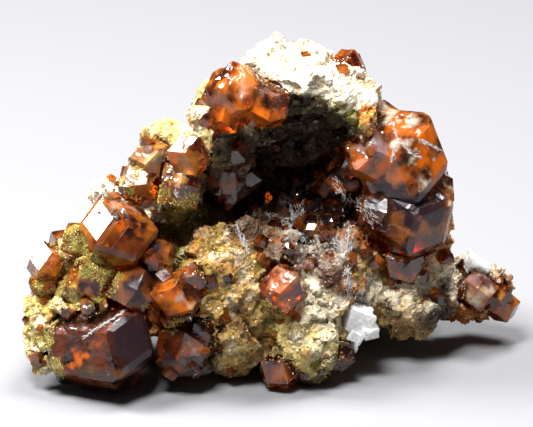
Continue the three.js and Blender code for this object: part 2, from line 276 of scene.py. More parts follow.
def rock_patch_colours(points):
    """The rock's colours at points in millimetres: patches with wavering borders, some of them painted shade
    and painted light, and speckles.
    """
    waver = np.array([noise.noise_vector(Vector(point) / BORDER_LENGTH) for point in points])
    places = points + BORDER_SWING * waver
    broad = (closeness(places, broad_patches) + 1e-9) ** BORDER_SHARPNESS
    small = closeness(places, front_patches) ** BORDER_SHARPNESS
    weights = np.hstack([broad, FRONT_STRENGTH * small])
    weights /= weights.sum(axis=1, keepdims=True)
    colours = weights @ np.array([hue for hue, _, _ in [*broad_patches, *front_patches]])
    lightness = np.clip(colours.mean(axis=1) / LIGHT_ROCK, 0.1, 1)
    for hue, length, shift, most in SPECKLES:
        speckle = np.array([swell(point, length, shift) for point in points])
        speckle = (np.clip((speckle - 0.3) * 3, 0, most) * lightness)[:, None]
        colours = colours * (1 - speckle) + np.array(hue) * speckle
    return colours


def tint_mesh(mesh, colours, cover):
    """Stores for each vertex the colour and the cover that the materials read."""
    tint = mesh.attributes.new("tint", "FLOAT_COLOR", "POINT")
    tint.data.foreach_set("color", np.hstack([colours, cover[:, None]]).astype(np.float32).ravel())


def points_of(mesh):
    """The places of a mesh's vertices, as an array."""
    points = np.empty(len(mesh.vertices) * 3)
    mesh.vertices.foreach_get("co", points)
    return points.reshape(-1, 3)


def new_piece(name, mesh, material):
    """A mesh as a named piece that rides on the specimen."""
    piece = bpy.data.objects.new(name, mesh)
    bpy.context.scene.collection.objects.link(piece)
    mesh.materials.clear()
    mesh.materials.append(material)
    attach(piece, "root")
    return piece


def merged_copy(node):
    """A bmesh of a CAD node with its loose triangles joined."""
    copy = bmesh.new()
    copy.from_mesh(frame["nodes"][node].data)
    bmesh.ops.remove_doubles(copy, verts=copy.verts, dist=0.002 * MM)
    return copy


def chipped(place, size, depth, tilt):
    """How far a point stands out, in millimetres, where the surface has broken into flat chips."""
    _, centres = noise.voronoi(place / size)
    centre = centres[0]
    lean = noise.cell_vector(centre * 61) - Vector((0.5, 0.5, 0.5))
    return depth * (noise.cell(centre * 37) - 0.5) + tilt * size * lean.dot(place / size - centre)


rock_form = merged_copy("host_rock")
rock_mesh = bpy.data.meshes.new("rock_form")
rock_form.to_mesh(rock_mesh)
rock_form.free()
rock_source = bpy.data.objects.new("rock_source", rock_mesh)
bpy.context.scene.collection.objects.link(rock_source)
voxels = rock_source.modifiers.new("voxels", "REMESH")
voxels.mode = "VOXEL"
voxels.voxel_size = ROCK_VOXEL
ready = rock_source.evaluated_get(bpy.context.evaluated_depsgraph_get())
rock_mesh = bpy.data.meshes.new_from_object(ready)
bpy.data.objects.remove(rock_source)

rock_form = bmesh.new()
rock_form.from_mesh(rock_mesh)
for _ in range(2):
    bmesh.ops.smooth_vert(
        rock_form, verts=rock_form.verts, factor=0.5, use_axis_x=True, use_axis_y=True, use_axis_z=True,
    )
rock_form.normal_update()
for vert in rock_form.verts:
    place = vert.co / MM
    height = ROCK_SWELL + ROLL_HEIGHT * swell(place, ROLL_LENGTH)
    height += chipped(place, *COARSE_CHIPS) + chipped(place + FINE_SHIFT, *FINE_CHIPS)
    vert.co += vert.normal * height * MM
    vert.co = [min(max(value, low), high) for value, low, high in zip(vert.co, *cad_box)]
rock_form.to_mesh(rock_mesh)
rock_form.free()
rock_colours = ROCK_SHADE * rock_patch_colours(points_of(rock_mesh) / MM)
tint_mesh(rock_mesh, rock_colours, np.ones(len(rock_colours)))


def new_material(name):
    """A material with its node tree, its shader and its Object coordinates."""
    material = bpy.data.materials.new(name)
    material.use_nodes = True
    tree = material.node_tree
    shader = tree.nodes["Principled BSDF"]
    coordinates = tree.nodes.new("ShaderNodeTexCoord").outputs["Object"]
    return material, tree, shader, coordinates


def mixed(tree, blend, factor, first, second):
    """A colour mix of two sockets or plain colours."""
    mix = tree.nodes.new("ShaderNodeMix")
    mix.data_type = "RGBA"
    mix.blend_type = blend
    for socket, value in ((mix.inputs[0], factor), (mix.inputs[6], first), (mix.inputs[7], second)):
        if isinstance(value, bpy.types.NodeSocket):
            tree.links.new(value, socket)
        else:
            socket.default_value = (*value, 1) if isinstance(value, tuple) else value
    return mix.outputs[2]


def grey(tree, value):
    """A value as a grey colour."""
    colour = tree.nodes.new("ShaderNodeCombineColor")
    for channel in ("Red", "Green", "Blue"):
        tree.links.new(value, colour.inputs[channel])
    return colour.outputs["Color"]


def noisy(tree, coordinates, scale, detail, kind="Fac"):
    """Noise with so many swells to a metre, and so many rounds of finer ones."""
    texture = tree.nodes.new("ShaderNodeTexNoise")
    texture.inputs["Scale"].default_value = scale
    texture.inputs["Detail"].default_value = detail
    tree.links.new(coordinates, texture.inputs["Vector"])
    return texture.outputs[kind]


def combined(tree, operation, first, second):
    """Two values joined by arithmetic."""
    sum_node = tree.nodes.new("ShaderNodeMath")
    sum_node.operation = operation
    tree.links.new(first, sum_node.inputs[0])
    tree.links.new(second, sum_node.inputs[1])
    return sum_node.outputs["Value"]


def ranged(tree, value, given, wanted):
    """A value moved from the given range to the wanted one, and held inside it."""
    move = tree.nodes.new("ShaderNodeMapRange")
    for name, number in zip(("From Min", "From Max", "To Min", "To Max"), (*given, *wanted)):
        move.inputs[name].default_value = number
    tree.links.new(value, move.inputs["Value"])
    return move.outputs["Result"]


def bumped(tree, shader, height, strength, distance):
    """Fine relief on a shader's normal."""
    bump = tree.nodes.new("ShaderNodeBump")
    bump.inputs["Strength"].default_value = strength
    bump.inputs["Distance"].default_value = distance
    tree.links.new(height, bump.inputs["Height"])
    tree.links.new(bump.outputs["Normal"], shader.inputs["Normal"])


def tinted(tree, kind="Color"):
    """The colour or, as Alpha, the cover that a mesh carries for each vertex."""
    attribute = tree.nodes.new("ShaderNodeAttribute")
    attribute.attribute_name = "tint"
    return attribute.outputs[kind]


rock_finish, tree, shader, coordinates = new_material("granular_rock")
grains = tree.nodes.new("ShaderNodeTexVoronoi")
grains.inputs["Scale"].default_value = 2600
tree.links.new(coordinates, grains.inputs["Vector"])
of_grain = tree.nodes.new("ShaderNodeSeparateColor")
tree.links.new(grains.outputs["Color"], of_grain.inputs["Color"])
lightness = grey(tree, ranged(tree, of_grain.outputs["Red"], (0, 1), (0.55, 1.35)))
speckled = mixed(tree, "MULTIPLY", 1.0, tinted(tree), lightness)
dust = mixed(tree, "MULTIPLY", 1.0, tinted(tree), (0.6, 0.55, 0.4))
dusty = ranged(tree, noisy(tree, coordinates, scale=500, detail=6), (0.50, 0.66), (0, 1))
tree.links.new(mixed(tree, "ADD", dusty, speckled, dust), shader.inputs["Base Color"])
roughness = ranged(tree, of_grain.outputs["Green"], (0, 1), (0.3, 0.85))
tree.links.new(roughness, shader.inputs["Roughness"])
shader.inputs["Specular IOR Level"].default_value = 0.22
bumped(tree, shader, noisy(tree, coordinates, scale=3500, detail=5), strength=0.6, distance=0.08 * MM)
rock = new_piece("rock", rock_mesh, rock_finish)
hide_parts("host_rock")

# Garnet crystals: orange-brown garnets with flat rhombic faces, clear enough to glow where light gets in and
# nearly black where they are thick. They grew in the rock, which still holds their lower halves.
EDGE_WIDTH = 0.07 * MM
SHARP_ANGLE = math.radians(20)  # edges sharper than this are worn
LONGEST_EDGE = 0.352 * MM  # the spacing of points on a face, close enough for its growth steps
ROUNDS = 6  # the most times that a face is divided to reach it
GROWTH_STEPS = (1.1, 0.014, 0.012)  # size in millimetres, depth and tilt of the steps on a face
BROKEN_STEPS = (1.2, 0.08, 0.2)  # the same where the face has broken
BREAK_LENGTH = 3.2  # length of the broken places in millimetres, and the shift of their noise
BREAK_SHIFT = (5, 5, 5)
BREAK_FROM = 0.4  # height of that noise from which a face has broken, and from which a fresh one has
FRESH_BREAK_FROM = 0.62
BREAK_DEPTH = 0.9
FRESH = ("garnet_upper_left", "garnet_lower_left")  # the groups whose faces have kept their gloss
PATCH_SWING = 0.75 * MM  # how far a patch's border wavers, and the lengths at which it does
PATCH_WAVER = 1.1 * MM
PATCH_FRAY = 0.4 * MM
PATCH_SPREAD = 1.2  # how far a patch thins out, as a share of its reach

# the next colour is painted light: the orange glow of light shining through the crystals, laid on as a film
PAINTED_GLOW = (0.66, 0.14, 0.006)
HONEY = (0.46, 0.23, 0.04)
PINK_WHITE = (0.60, 0.43, 0.36)
LILAC = (0.27, 0.21, 0.25)
# the next colour is painted shade and painted dark reflection: a near-black plum for crystal faces that turn
# down or lie in shade
PAINTED_SHADE_PLUM = (0.030, 0.014, 0.018)
EMBER = (0.13, 0.022, 0.004)

# Films and inclusions, and painted glow and shade: the colour, how much it covers, then pixels across and
# down and reach in millimetres
CRYSTAL_PATCHES = [
    (YELLOW_GREEN, 0.8, [
        (66, 232, 0.8), (80, 248, 1.0), (94, 262, 0.9), (70, 262, 0.8), (88, 275, 0.8), (105, 280, 0.8),
        (118, 277, 0.6), (60, 286, 0.8), (75, 297, 0.8), (97, 301, 0.8), (52, 320, 0.9), (48, 342, 1.0),
    ]),
    (YELLOW_GREEN, 0.7, [
        (56, 364, 0.9), (160, 196, 0.8), (172, 208, 0.7), (188, 200, 0.8), (140, 172, 0.8), (130, 190, 0.8),
        (145, 305, 0.5), (170, 330, 0.6), (174, 322, 0.5), (270, 305, 0.5), (60, 250, 0.7), (38, 285, 0.7),
    ]),
    (HONEY, 0.6, [
        (138, 160, 1.4), (150, 145, 1.2), (160, 132, 1.0), (146, 180, 1.2), (160, 170, 1.2), (175, 180, 1.0),
        (500, 300, 1.0), (510, 312, 0.8), (462, 300, 0.9), (315, 232, 0.9), (312, 246, 0.8), (190, 160, 1.0),
    ]),
    (HONEY, 0.5, [
        (175, 160, 1.2), (40, 270, 0.9), (52, 280, 0.8), (85, 225, 0.9), (112, 262, 0.7), (450, 285, 0.9),
    ]),
    (LILAC, 0.6, [
        (472, 280, 0.8), (488, 282, 0.7), (372, 262, 0.8), (384, 268, 0.6), (200, 180, 0.8), (232, 170, 0.7),
    ]),
    # painted light: orange glow of light shining through the crystals, much of it low on the large ones
    (PAINTED_GLOW, 1.1, [
        (78, 360, 0.7), (72, 366, 0.5), (86, 352, 0.5), (122, 225, 0.6), (138, 230, 0.4),
    ]),
    (PAINTED_GLOW, 0.7, [
        (96, 344, 0.5), (182, 312, 0.7), (108, 246, 0.5), (104, 250, 0.4), (140, 246, 0.5), (168, 290, 1.0),
    ]),
    (PAINTED_GLOW, 0.8, [
        (222, 118, 1.0), (240, 112, 1.1), (262, 112, 1.0), (276, 118, 0.7), (180, 146, 0.9), (172, 160, 0.8),
        (384, 166, 1.1), (402, 174, 1.0), (372, 176, 0.8), (350, 156, 0.7), (240, 72, 1.0), (228, 82, 0.8),
    ]),
    (PAINTED_GLOW, 0.9, [
        (398, 126, 1.5), (426, 140, 1.4), (440, 166, 1.1), (362, 160, 1.0), (424, 160, 1.1), (436, 178, 0.8),
    ]),
    (PAINTED_GLOW, 0.6, [
        (392, 152, 1.0), (280, 284, 1.1), (272, 294, 0.8), (448, 226, 0.8), (300, 205, 0.8),
    ]),
    (PAINTED_GLOW, 0.5, [
        (186, 352, 0.8), (275, 386, 0.8), (176, 366, 0.8), (335, 190, 0.8), (330, 250, 0.6), (178, 372, 0.6),
    ]),
    (EMBER, 0.9, [
        (98, 240, 1.0), (110, 252, 1.1), (126, 256, 1.1), (142, 250, 1.0), (152, 240, 0.8), (118, 240, 1.0),
        (58, 346, 1.1), (76, 374, 1.2), (98, 362, 1.1), (66, 332, 1.0), (88, 382, 1.1), (84, 338, 0.9),
    ]),
    (EMBER, 0.8, [
        (104, 330, 0.9), (160, 350, 1.0), (172, 342, 0.9), (166, 366, 0.9), (408, 206, 1.0), (430, 196, 0.9),
    ]),
    (PINK_WHITE, 0.4, [
        (224, 90, 0.9), (244, 88, 0.9), (262, 92, 0.9), (278, 98, 0.7), (284, 110, 0.5), (116, 207, 0.8),
    ]),
    (PINK_WHITE, 0.45, [
        (134, 209, 0.8), (148, 214, 0.7), (156, 226, 0.4), (180, 296, 0.8), (190, 306, 0.6), (196, 352, 0.6),
        (188, 344, 0.6), (178, 136, 0.5), (44, 258, 0.7), (50, 250, 0.6), (280, 268, 0.8), (292, 276, 0.7),
    ]),
    (LILAC, 0.75, [
        (372, 140, 1.3), (360, 148, 1.0), (382, 150, 0.8), (340, 236, 0.9), (334, 244, 0.8), (90, 312, 0.8),
    ]),
    (CREAM, 0.75, [
        (412, 163, 0.5), (430, 176, 0.5), (446, 186, 0.6), (404, 170, 0.3), (420, 152, 0.3), (392, 112, 0.9),
    ]),
    (CREAM, 0.7, [
        (410, 121, 1.1), (384, 106, 0.9), (396, 144, 0.6), (436, 156, 0.6), (450, 205, 0.6), (424, 184, 0.8),
        (386, 120, 0.7), (408, 140, 0.5), (418, 132, 0.5), (494, 290, 0.7), (476, 300, 0.9), (456, 282, 0.5),
    ]),
    (CREAM, 0.6, [
        (484, 294, 0.9), (468, 290, 0.7), (128, 172, 0.8), (134, 150, 0.7), (146, 128, 0.7), (158, 118, 0.6),
    ]),
    (PALE_YELLOW, 0.7, [
        (122, 182, 0.8), (140, 138, 0.9), (152, 158, 0.7), (166, 190, 0.7), (184, 178, 0.7), (170, 118, 0.7),
    ]),
    # painted shade and painted dark reflection: near-black plum on the lower-left crystal's right face, the
    # right mass's low crystal and crystals in shade
    (PAINTED_SHADE_PLUM, 1.2, [
        (400, 200, 1.5), (418, 204, 1.5), (436, 214, 1.4), (384, 188, 1.2), (376, 204, 1.2), (440, 198, 1.0),
    ]),
    (PAINTED_SHADE_PLUM, 1.4, [
        (126, 330, 1.5), (142, 340, 1.4), (134, 356, 1.4), (122, 344, 1.2), (146, 322, 1.0), (150, 352, 1.0),
    ]),
    (PAINTED_SHADE_PLUM, 1.1, [
        (150, 270, 1.2), (134, 284, 1.2), (154, 250, 1.0), (158, 236, 0.8), (206, 130, 0.8), (410, 220, 1.2),
    ]),
    (PAINTED_SHADE_PLUM, 1.0, [
        (138, 296, 0.8), (92, 288, 1.0), (80, 286, 0.8), (182, 376, 0.7), (170, 358, 0.7), (196, 372, 0.7),
    ]),
    (GREY_WHITE, 0.6, [
        (376, 198, 0.8), (386, 212, 0.7), (366, 208, 0.8), (356, 184, 0.7), (348, 176, 0.6), (426, 188, 0.6),
    ]),
    # painted shade: dark brown on the lower-left crystal's bottom and on crystals in the hollow
    (BROWN, 0.7, [
        (90, 372, 1.2), (105, 384, 1.2), (120, 376, 1.0), (70, 375, 0.9), (225, 180, 1.4), (245, 170, 1.2),
    ]),
]
crystal_patches = [
    (hue, cover, seen_at(across, down)[0], reach * MM)
    for hue, cover, spots in CRYSTAL_PATCHES
    for across, down, reach in spots
    if seen_at(across, down)[0] is not None
]


def films_and_painted_light(points):
    """The colour of the film, painted glow or painted shade on a crystal at points, and how much it covers.
    """
    waver = np.array([
        noise.noise_vector(Vector(point) / PATCH_WAVER) + 0.5 * noise.noise_vector(Vector(point) / PATCH_FRAY)
        for point in points
    ])
    places = points + PATCH_SWING * waver
    hues, covers = np.zeros((len(points), 3)), np.zeros(len(points))
    for hue, cover, middle, reach in crystal_patches:
        distances = np.linalg.norm(places - middle, axis=1)
        here = cover * np.exp(-((distances / (PATCH_SPREAD * reach)) ** 2))
        stronger = here > covers
        hues[stronger], covers[stronger] = hue, here[stronger]
    return hues, covers


def garnet_material(name, deep, bright, glowing_from, absorbed, density):
    """Clear garnet, coloured by depth, with glowing zones, cracks, dull patches, and films, painted glow and
    painted shade on its faces.
    """
    material, tree, shader, coordinates = new_material(name)
    zones = ranged(tree, noisy(tree, coordinates, scale=420, detail=8), glowing_from, (0, 1))
    body = mixed(tree, "MIX", zones, deep, bright)
    cracks = tree.nodes.new("ShaderNodeTexVoronoi")
    cracks.feature = "DISTANCE_TO_EDGE"
    cracks.inputs["Scale"].default_value = 520
    tree.links.new(coordinates, cracks.inputs["Vector"])
    line = ranged(tree, cracks.outputs["Distance"], (0.0, 0.03), (1, 0))
    cracked = ranged(tree, noisy(tree, coordinates, scale=500, detail=4), (0.56, 0.64), (0, 0.45))
    dull = ranged(tree, noisy(tree, coordinates, scale=520, detail=9), (0.64, 0.78), (0, 0.35))
    pale = combined(tree, "MAXIMUM", combined(tree, "MULTIPLY", line, cracked), dull)
    garnet = mixed(tree, "MIX", pale, body, (0.75, 0.44, 0.20))
    frayed = ranged(tree, noisy(tree, coordinates, scale=700, detail=9), (0.3, 0.7), (-0.22, 0.22))
    film_and_paint = ranged(tree, combined(tree, "ADD", tinted(tree, "Alpha"), frayed), (0.1, 0.8), (0, 1))
    mottle = noisy(tree, coordinates, scale=1600, detail=6, kind="Color")
    mottled = mixed(tree, "MULTIPLY", 0.5, tinted(tree), mottle)
    tree.links.new(mixed(tree, "MIX", film_and_paint, garnet, mottled), shader.inputs["Base Color"])
    zone_clear = ranged(tree, zones, (0, 1), (0.97, 0.7))
    crack_clear = ranged(tree, pale, (0, 1), (1, 0.3))
    film_and_paint_clear = ranged(tree, film_and_paint, (0, 1), (1, 0.1))
    clear = combined(tree, "MULTIPLY", combined(tree, "MULTIPLY", zone_clear, crack_clear), film_and_paint_clear)
    tree.links.new(clear, shader.inputs["Transmission Weight"])
    face_rough = ranged(tree, noisy(tree, coordinates, scale=900, detail=6), (0.35, 0.7), (0.03, 0.22))
    film_and_paint_rough = ranged(tree, film_and_paint, (0, 1), (0, 0.1))
    tree.links.new(combined(tree, "ADD", face_rough, film_and_paint_rough), shader.inputs["Roughness"])
    shader.inputs["IOR"].default_value = 1.74
    shader.inputs["Specular IOR Level"].default_value = 0.22
    shader.inputs["Subsurface Weight"].default_value = 0.6
    shader.inputs["Subsurface Radius"].default_value = (1.0, 0.35, 0.08)
    shader.inputs["Subsurface Scale"].default_value = 0.9 * MM
    bumped(tree, shader, noisy(tree, coordinates, scale=900, detail=6), strength=0.15, distance=0.04 * MM)
    depth = tree.nodes.new("ShaderNodeVolumeAbsorption")
    depth.inputs["Color"].default_value = (*absorbed, 1)
    depth.inputs["Density"].default_value = density
    tree.links.new(depth.outputs["Volume"], tree.nodes["Material Output"].inputs["Volume"])
    return material


orange_garnet = garnet_material(
    "orange_garnet", deep=(0.24, 0.055, 0.007), bright=(0.80, 0.24, 0.022), glowing_from=(0.42, 0.66),
    absorbed=(0.95, 0.84, 0.2), density=1500,
)
# a darker copy of the orange garnet: painted shade for the crystals in the hollow and others in shade
dark_garnet = garnet_material(
    "dark_garnet", deep=(0.085, 0.019, 0.005), bright=(0.52, 0.11, 0.010), glowing_from=(0.46, 0.72),
    absorbed=(0.91, 0.76, 0.1), density=1900,
)


def in_order(form):
    """The same form with its points and faces in order of place, which a bevel leaves to chance."""
    verts = sorted(form.verts, key=lambda vert: tuple(round(value / MM, 4) for value in vert.co))
    for index, vert in enumerate(verts):
        vert.index = index
    rings = []
    for face in form.faces:
        ring = [vert.index for vert in face.verts]
        first = ring.index(min(ring))
        rings.append(ring[first:] + ring[:first])
    ordered_mesh = bpy.data.meshes.new("ordered")
    ordered_mesh.from_pydata([vert.co[:] for vert in verts], [], sorted(rings))
    form.free()
    ordered = bmesh.new()
    ordered.from_mesh(ordered_mesh)
    bpy.data.meshes.remove(ordered_mesh)
    return ordered


def whole_faces(node):
    """A bmesh of a CAD node with each of its flat faces in one piece."""
    form = merged_copy(node)
    bmesh.ops.dissolve_limit(form, angle_limit=math.radians(1), verts=form.verts, edges=form.edges)
    return form


def worn_edges(form, edges, width, longest, rounds):
    """The form with those edges worn off, and its faces divided, in so many rounds, for fine relief."""
    bmesh.ops.bevel(
        form, geom=edges, offset=width, offset_type="OFFSET", segments=1, profile=0.5,
        affect="EDGES", clamp_overlap=True, material=-1,
    )
    form = in_order(form)
    bmesh.ops.triangulate(form, faces=form.faces)
    for _ in range(rounds):
        long_edges = [edge for edge in form.edges if edge.calc_length() > longest]
        if not long_edges:
            break
        bmesh.ops.subdivide_edges(form, edges=long_edges, cuts=1)
        bmesh.ops.triangulate(form, faces=form.faces)
    form = in_order(form)
    form.normal_update()
    return form


def crystal_form(node):
    """A garnet cluster from its solid: worn edges, and faces with low steps and broken places."""
    form = whole_faces(node)
    sharp = [edge for edge in form.edges if edge.is_manifold and edge.calc_face_angle() > SHARP_ANGLE]
    form = worn_edges(form, sharp, EDGE_WIDTH, LONGEST_EDGE, ROUNDS)
    break_from = FRESH_BREAK_FROM if node in FRESH else BREAK_FROM
    for vert in form.verts:
        place = vert.co / MM
        height = chipped(place, *GROWTH_STEPS)
        broken = swell(place, BREAK_LENGTH, BREAK_SHIFT) - break_from
        if broken > 0:
            height -= min(broken, 0.4) * BREAK_DEPTH + min(broken / 0.1, 1) * chipped(place, *BROKEN_STEPS)
        vert.co += vert.normal * height * MM
        vert.co.z = max(vert.co.z, 0)
    return form


def surface_of(mesh):
    """The middle, outward direction and area of each face of a mesh."""
    count = len(mesh.polygons)
    middles, normals, areas = np.empty(3 * count), np.empty(3 * count), np.empty(count)
    mesh.polygons.foreach_get("center", middles)
    mesh.polygons.foreach_get("normal", normals)
    mesh.polygons.foreach_get("area", areas)
    return middles.reshape(-1, 3), normals.reshape(-1, 3), areas


def drop_doubled_faces(mesh):
    """Deletes faces that lie back to back on the same corners, which leaves one closed skin."""
    form = bmesh.new()
    form.from_mesh(mesh)
    rings = [frozenset(vert.index for vert in face.verts) for face in form.faces]
    copies = Counter(rings)
    doubled = [face for face, ring in zip(form.faces, rings) if copies[ring] > 1]
    bmesh.ops.delete(form, geom=doubled, context="FACES")
    form.to_mesh(mesh)
    form.free()


crystal_surfaces = []
for node in sorted(frame["nodes"]):
    if node.startswith("garnet_"):
        crystal = bpy.data.meshes.new(node)
        form = crystal_form(node)
        form.to_mesh(crystal)
        form.free()
        tint_mesh(crystal, *films_and_painted_light(points_of(crystal)))
        crystal_surfaces.append(surface_of(crystal))
        drop_doubled_faces(crystal)
        slot = next(part["material_slot"] for part in frame["record"]["subparts"] if part["node"] == node)
        # crystals of the dark_garnet slot take the darker garnet, which is painted shade
        finish = dark_garnet if slot == "dark_garnet" else orange_garnet
        piece = new_piece("crystals_" + node.removeprefix("garnet_"), crystal, finish)
        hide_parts(node)
crystal_middles, crystal_normals, crystal_areas = map(np.concatenate, zip(*crystal_surfaces))

# Small garnets: crystals of half a millimetre to two millimetres that crowd the rock round the large ones
# and line the hollow. They are the same garnet, grown at the same time, and are half sunk in the rock.
SMALL_GARNETS = 400
SMALL_SHAPES = 5
SMALL_SIZE = (0.25, 0.85)  # millimetres from the middle to a face
SMALL_SHARE = 2.2  # the higher, the more of them are near the smallest size
SUNK = 0.25  # how far one is sunk, as a share of its size, and the same where the picture shows it
SPOT_SUNK = 0.3
FACE_DISTANCE = (0.85, 1.1)  # how unevenly the faces have grown
NEAR_CRYSTALS = 1.6 * MM
HOLLOW_MIDDLE = (2, -2, 20)  # the hollow's middle and reach, in millimetres
HOLLOW_REACH = (8, 6, 6)
HOLLOW_SHARE = 0.5  # how many grow in the hollow and elsewhere, against those near the large crystals
OTHER_SHARE = 0.015
SHADED_FROM = 0.4  # how far into the hollow the garnets take the darker garnet, which is painted shade
GARNETS_FROM = 1.2 * MM  # the heights between which they grow
GARNETS_TO = 28.5 * MM
# Ones that the picture shows: pixels across and down, and the size in millimetres
ORANGE_SPOTS = [
    (64, 226, 0.7), (63, 238, 0.6), (306, 57, 0.8), (343, 70, 0.7), (50, 288, 0.6), (42, 300, 0.5),
    (321, 384, 0.5), (311, 230, 0.7), (170, 372, 0.8), (205, 352, 0.6), (160, 330, 0.6), (208, 120, 0.7),
    (250, 122, 0.6), (148, 142, 0.7), (330, 205, 0.9), (322, 190, 0.8), (372, 150, 0.6), (352, 258, 0.6),
    (402, 262, 0.6), (452, 240, 0.9), (446, 256, 0.8), (262, 258, 0.6), (296, 318, 0.5), (232, 372, 0.5),
    (352, 375, 0.8), (300, 392, 0.6),
]
# those listed next take the darker garnet: painted shade, in the hollow and other shaded places
SHADED_SPOTS = [
    (228, 278, 0.5), (156, 262, 0.9), (165, 276, 0.9), (148, 252, 0.7), (300, 226, 0.8), (326, 238, 0.8),
    (312, 206, 0.8), (240, 152, 1.1), (255, 178, 1.1), (226, 202, 0.8), (275, 226, 0.8), (262, 242, 0.7),
    (285, 172, 1.0), (345, 170, 0.9), (212, 186, 0.9), (268, 200, 0.9), (300, 180, 0.9), (368, 252, 0.7),
    (395, 250, 0.6), (440, 300, 0.7),
]
dice = random.Random(11)


def nearness(points, others, reach):
    """How near each point is to any of the others: 1 where they touch, 0 well past the reach."""
    tree = KDTree(len(others))
    for index, other in enumerate(others):
        tree.insert(other, index)
    tree.balance()
    distances = np.array([tree.find(point)[2] for point in points])
    return np.exp(-((distances / reach) ** 2))


def cut_flat(form, normal, distance):
    """Cuts a form by a plane at that distance from its middle, and closes it there."""
    cut = bmesh.ops.bisect_plane(
        form, geom=form.verts[:] + form.edges[:] + form.faces[:],
        plane_co=normal * distance, plane_no=normal, clear_outer=True,
    )
    rim = [part for part in cut["geom_cut"] if isinstance(part, bmesh.types.BMEdge)]
    if rim:
        bmesh.ops.holes_fill(form, edges=rim)


def shape_parts(form):
    """A bmesh as plain points and triangles."""
    bmesh.ops.triangulate(form, faces=form.faces)
    bmesh.ops.recalc_face_normals(form, faces=form.faces)
    form.verts.index_update()
    points = np.array([vert.co[:] for vert in form.verts])
    faces = np.array([[vert.index for vert in face.verts] for face in form.faces])
    form.free()
    return points, faces


def garnet_shape():
    """A rhombic dodecahedron about 1 from its middle to each face, slightly uneven, as points and faces."""
    crystal = bmesh.new()
    bmesh.ops.create_cube(crystal, size=4)
    for first, second in ((0, 1), (0, 2), (1, 2)):
        for one in (-1, 1):
            for other in (-1, 1):
                normal = Vector((0, 0, 0))
                normal[first], normal[second] = one, other
                normal.normalize()
                cut_flat(crystal, normal, dice.uniform(*FACE_DISTANCE))
    return shape_parts(crystal)


def joined_copies(name, shapes, places, turns, sizes):
    """One mesh of many copies of a few shapes, each turned, sized and placed, and the copy of each point."""
    points, faces, owners, start = [], [], [], 0
    for index, (place, turn, size) in enumerate(zip(places, turns, sizes)):
        shape_points, shape_faces = shapes[index % len(shapes)]
        points.append((shape_points * np.array(size)) @ np.array(turn.to_matrix()).T + np.array(place))
        faces.append(shape_faces + start)
        owners.append(np.full(len(shape_points), index))
        start += len(shape_points)
    points = np.concatenate(points)
    points[:, 2] = np.maximum(points[:, 2], 0)
    mesh = bpy.data.meshes.new(name)
    mesh.from_pydata(points.tolist(), [], np.concatenate(faces).tolist())
    return mesh, np.concatenate(owners)


def random_turn():
    """A turn at random about all three axes."""
    return Euler([dice.uniform(0, 2 * math.pi) for _ in range(3)]).to_quaternion()


def picked(weights, count, seed):
    """Numbers of the faces that are picked, each at most once, by weight."""
    chances = weights / weights.sum()
    return np.random.RandomState(seed).choice(len(weights), size=count, replace=False, p=chances)


rock_middles, rock_normals, rock_areas = surface_of(rock_mesh)
by_crystals = nearness(rock_middles, crystal_middles[::7], NEAR_CRYSTALS)
from_hollow = (rock_middles / MM - np.array(HOLLOW_MIDDLE)) / np.array(HOLLOW_REACH)
in_hollow = np.exp(-(np.linalg.norm(from_hollow, axis=1) ** 2))
at_height = (rock_middles[:, 2] > GARNETS_FROM) * (rock_middles[:, 2] < GARNETS_TO)
weights = rock_areas * (by_crystals + HOLLOW_SHARE * in_hollow + OTHER_SHARE) * at_height
seats = picked(weights, SMALL_GARNETS, seed=3)
garnet_shapes = [garnet_shape() for _ in range(SMALL_SHAPES)]
# the garnets deep in the hollow take the darker garnet, which is painted shade
outside = [seat for seat in seats if in_hollow[seat] < SHADED_FROM]
inside = [seat for seat in seats if in_hollow[seat] >= SHADED_FROM]
for name, finish, slot, chosen, spots in (
    ("small_orange_garnets", orange_garnet, "garnet", outside, ORANGE_SPOTS),
    ("small_shaded_garnets", dark_garnet, "dark_garnet", inside, SHADED_SPOTS),
):
    smallest, largest = SMALL_SIZE
    sizes = [(smallest + (largest - smallest) * dice.random() ** SMALL_SHARE) * MM for _ in chosen]
    places = [rock_middles[seat] - rock_normals[seat] * size * SUNK for seat, size in zip(chosen, sizes)]
    for across, down, size in spots:
        place, normal = seen_at(across, down)
        if place is not None:
            sizes.append(size * MM)
            places.append(place - normal * size * SPOT_SUNK * MM)
    turns = [random_turn() for _ in places]
    small_mesh, _ = joined_copies(name, garnet_shapes, places, turns, [[size] * 3 for size in sizes])
    tint_mesh(small_mesh, *films_and_painted_light(points_of(small_mesh)))
    new_piece(name, small_mesh, finish)

# Mineral grains: the sugary grains of the matrix, 0.1 to 0.5 mm across, grown into its surface and up the
# sides of the crystals. They are broken bits with flat faces, each of one mineral.
GRAIN_SHAPES = 6
GRAIN_SIZE = (0.07, 0.2)  # millimetres from the middle to a corner
GRAIN_STRETCH = (0.75, 1.35)
GRAIN_SUNK = 0.3  # how far one is sunk, as a share of its size
GRAIN_SPREAD = 0.28  # how much their lightness differs
RUSTY_TO, BLACK_TO, CREAMY_TO, PALE_TO = 0.06, 0.12, 0.2, 0.26  # shares of the grains, added up
DARK_ROCK = 0.06  # lightness of a patch below which it has no pale grains
GRAIN_PIECES = 5
GRAINS_PER_PIECE = 5200
GRAINS_FROM = 0.25 * MM  # the height from which they show
FRINGE_GRAINS = 5200
FRINGE_SIZE = 0.6  # the fringe's grains as a share of the others
FRINGE_REACH = 0.55 * MM  # how far up a crystal from the rock the fringe goes
FRINGE_PATCHES = 2.2 * MM  # the length of its patches
OPEN_SPACE = 1.2 * MM  # how clear of rock a crystal's face must be to show a grain


